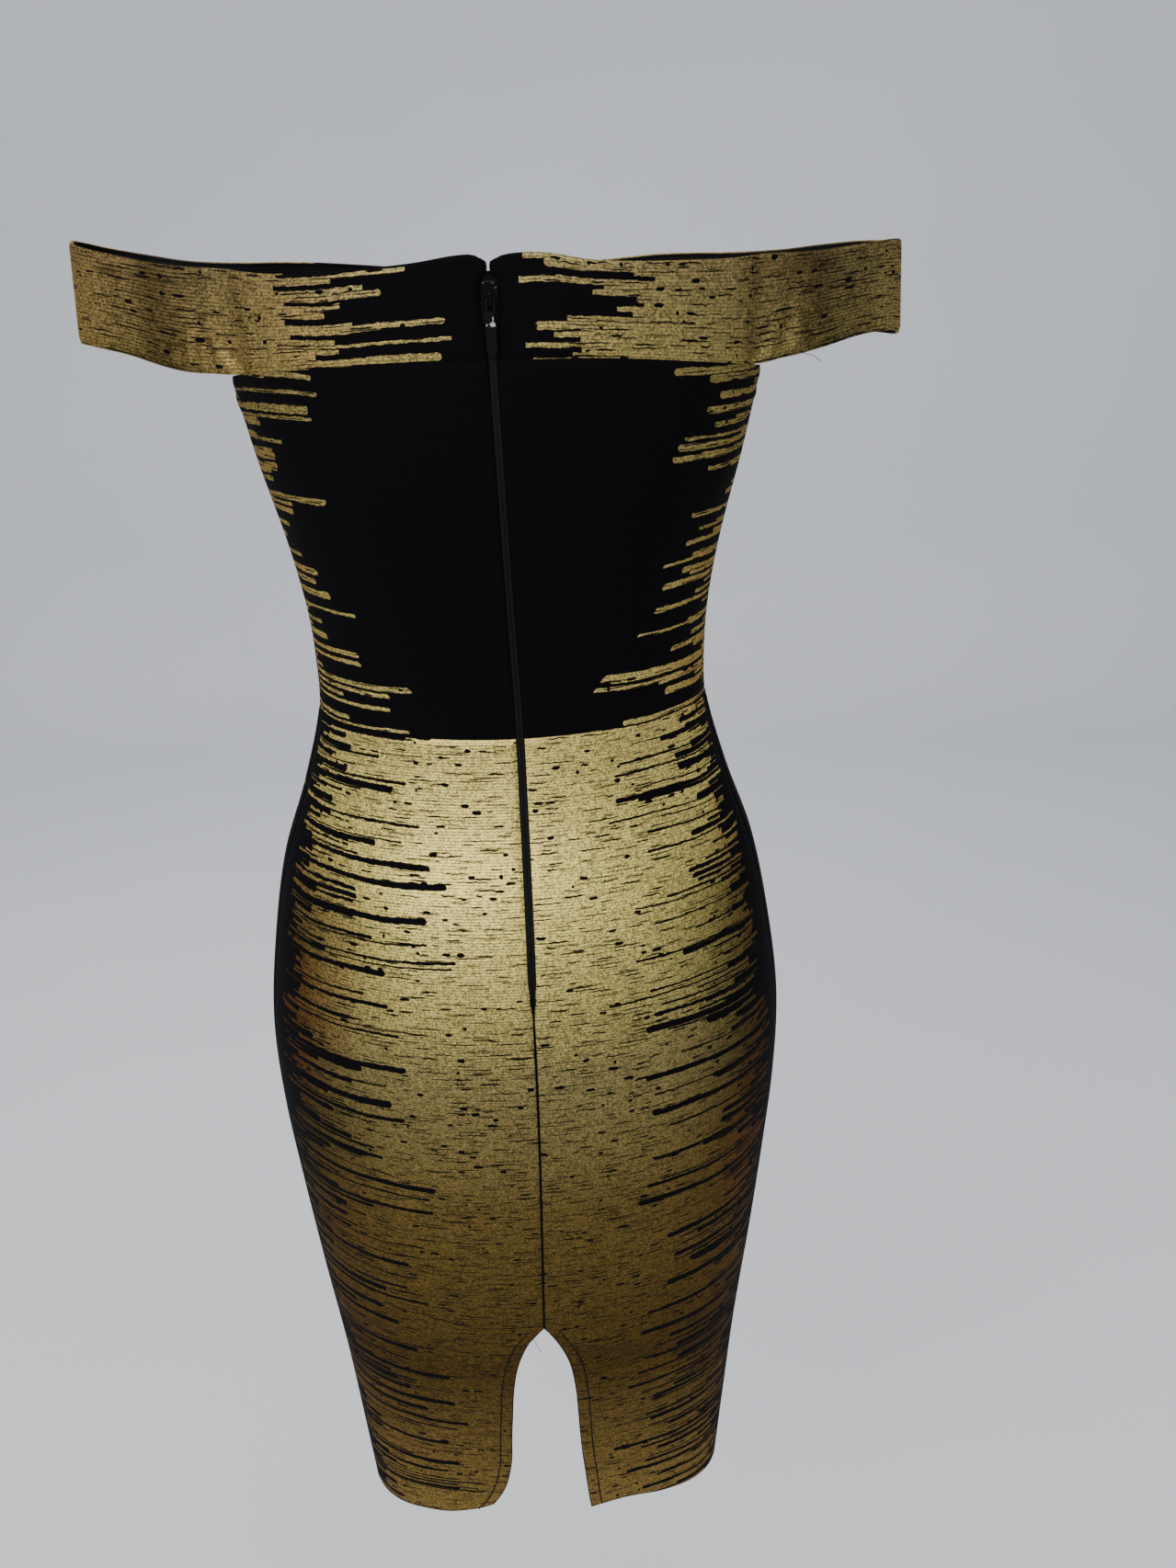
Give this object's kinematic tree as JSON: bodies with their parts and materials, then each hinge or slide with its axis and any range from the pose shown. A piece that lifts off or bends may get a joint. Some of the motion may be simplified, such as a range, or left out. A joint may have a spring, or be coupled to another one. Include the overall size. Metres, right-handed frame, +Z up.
{
  "type": "bodycon dress",
  "caption": "Off-the-shoulder knee-length bodycon dress in black rib knit with gold foil strokes, a concealed back zip and a back vent, held in its worn shape.",
  "frame": {"origin": "on the body's upright axis at the middle of the band's height at the centre back, where the wearer's chest and upper arms hold the dress", "axes": "+Z up, the front faces -Y, the wearer's left is +X"},
  "size_m": [0.438, 0.2392, 0.8551],
  "materials": {
    "foil_knit": "black rib knit with gold foil strokes, soft metallic sheen",
    "black_knit": "matte black rib knit with gold foil strokes at the sides",
    "zip_tape": "black woven zip tape",
    "slider_metal": "black lacquered zinc",
    "pull_metal": "worn grey lacquered zinc"
  },
  "bodies": {
    "dress": {"band_front": "foil_knit", "band_back_left": "foil_knit", "band_back_right": "foil_knit", "bodice_front": "black_knit", "bodice_back_left": "black_knit", "bodice_back_right": "black_knit", "skirt_front": "foil_knit", "skirt_back_left": "foil_knit", "skirt_back_right": "foil_knit", "zip_tape_left": "zip_tape", "zip_tape_right": "zip_tape", "zip_slider": "slider_metal"},
    "pull": {"zip_pull": "pull_metal"}
  },
  "joints": [
    {"name": "pull_swing", "type": "hinge", "parent": "dress", "child": "pull", "pos_m": [0.00652, 0.11447, 0.0062], "axis": [1, 0, 0], "range_deg": [0, 170]}
  ]
}
